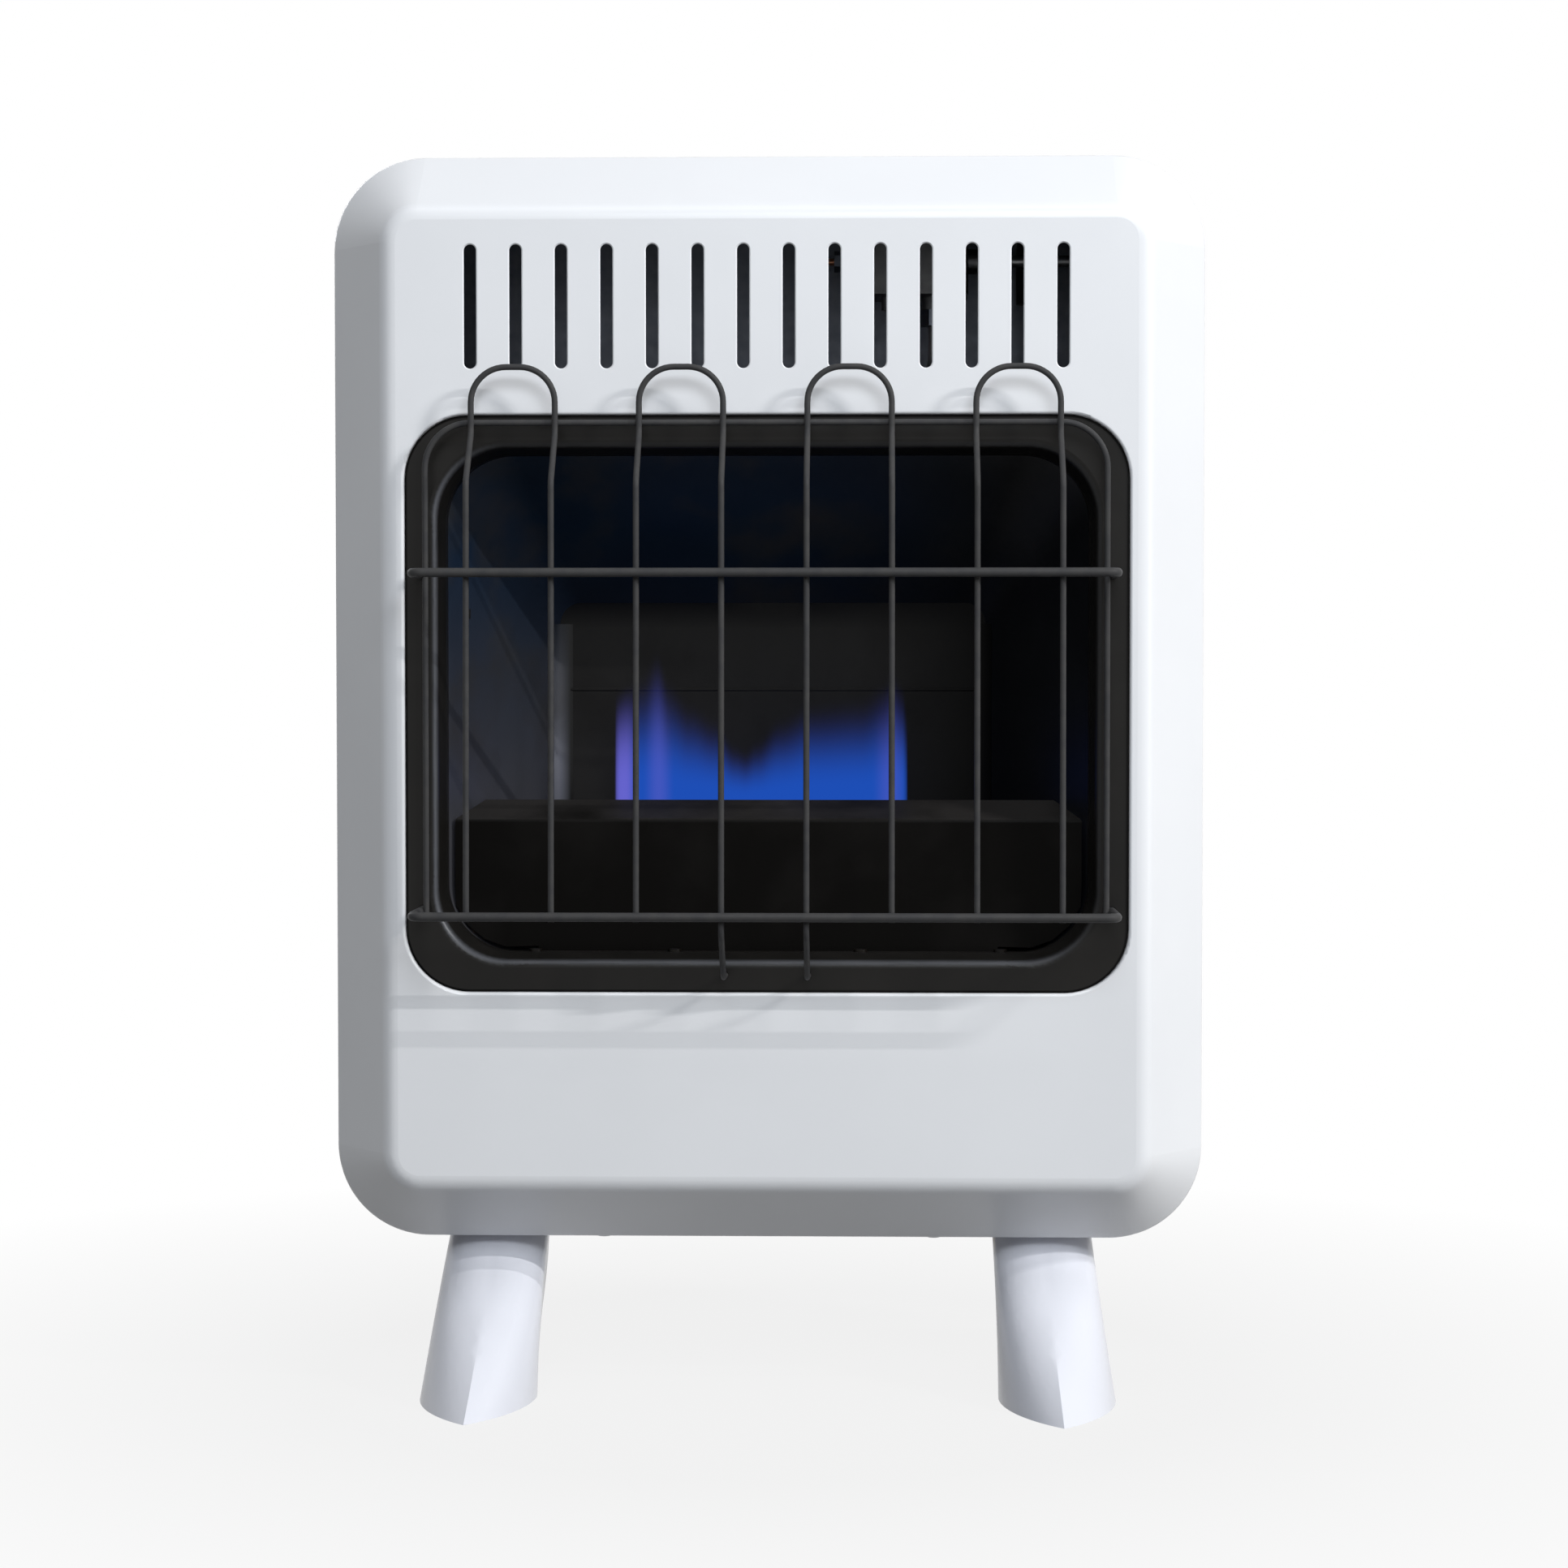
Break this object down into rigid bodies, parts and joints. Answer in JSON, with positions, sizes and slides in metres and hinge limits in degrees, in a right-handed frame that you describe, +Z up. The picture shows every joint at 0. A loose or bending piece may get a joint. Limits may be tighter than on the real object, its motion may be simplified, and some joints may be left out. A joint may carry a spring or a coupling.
{
  "type": "ventless gas heater",
  "caption": "White ventless blue-flame gas heater on two legs, with a black firebox, wire guard, slotted front panel, top control knob and igniter button.",
  "frame": {"origin": "on the floor, below the middle of the heater's width and depth", "axes": "+X to the right as seen from the front, the front faces -Y, +Z up"},
  "size_m": [0.47, 0.264, 0.6714],
  "materials": {
    "white_enamel": "semi-gloss",
    "white_plastic": "gloss",
    "plated_steel": "zinc plated",
    "black_enamel": "semi-gloss",
    "guard_coat": "satin",
    "firebox_steel": "satin",
    "burner_steel": "dull",
    "brass": "satin",
    "copper": "satin copper",
    "aluminium": "satin",
    "porcelain": "glazed",
    "lead_sleeve": "satin",
    "bright_steel": "bright",
    "black_plastic": "fine grain"
  },
  "bodies": {
    "heater": {"front_panel": "white_enamel", "cabinet_shell": "white_enamel", "back_panel": "plated_steel", "left_leg": "white_plastic", "right_leg": "white_plastic", "bezel_frame": "black_enamel", "guard_frame_wire": "guard_coat", "guard_hairpins": "guard_coat", "guard_upper_rod": "guard_coat", "guard_lower_rod": "guard_coat", "firebox_surround": "firebox_steel", "firebox_back": "firebox_steel", "firebox_spacers": "plated_steel", "burner_shield": "firebox_steel", "burner_tube": "burner_steel", "burner_saddles": "burner_steel", "air_inlet_plate": "plated_steel", "injector": "brass", "burner_supply_tube": "aluminium", "pilot_bracket": "burner_steel", "pilot_burner": "brass", "thermocouple": "copper", "spark_electrode": "porcelain", "pilot_tube": "copper", "thermocouple_lead": "copper", "spark_lead": "lead_sleeve", "gas_valve": "aluminium", "control_tray": "black_plastic", "igniter_body": "black_plastic", "igniter_nut": "bright_steel", "regulator": "aluminium", "gas_inlet": "brass", "inlet_locknut": "brass", "inlet_tube": "aluminium", "tube_nuts": "plated_steel", "leg_screws": "plated_steel", "panel_screws": "white_enamel", "back_screws": "white_enamel", "bezel_screws": "black_enamel", "firebox_screws": "plated_steel", "floor_screws": "plated_steel", "valve_screws": "plated_steel"},
    "plunger": {"safety_plunger": "bright_steel"},
    "knob": {"valve_stem": "bright_steel", "control_knob": "black_plastic"},
    "igniter": {"igniter_button": "black_plastic"}
  },
  "joints": [
    {"name": "knob_press", "type": "slide", "parent": "heater", "child": "plunger", "axis": [0, 0, -1], "range_m": [0, 0.004], "stiffness_N_per_m": 1500, "springref_m": -0.002},
    {"name": "knob_turn", "type": "hinge", "parent": "plunger", "child": "knob", "pos_m": [0.08, 0.0175, 0.66], "axis": [0, 0, 1], "range_deg": [0, 180]},
    {"name": "igniter_press", "type": "slide", "parent": "heater", "child": "igniter", "axis": [0, 0, -1], "range_m": [0, 0.008], "stiffness_N_per_m": 1200, "springref_m": -0.002}
  ]
}
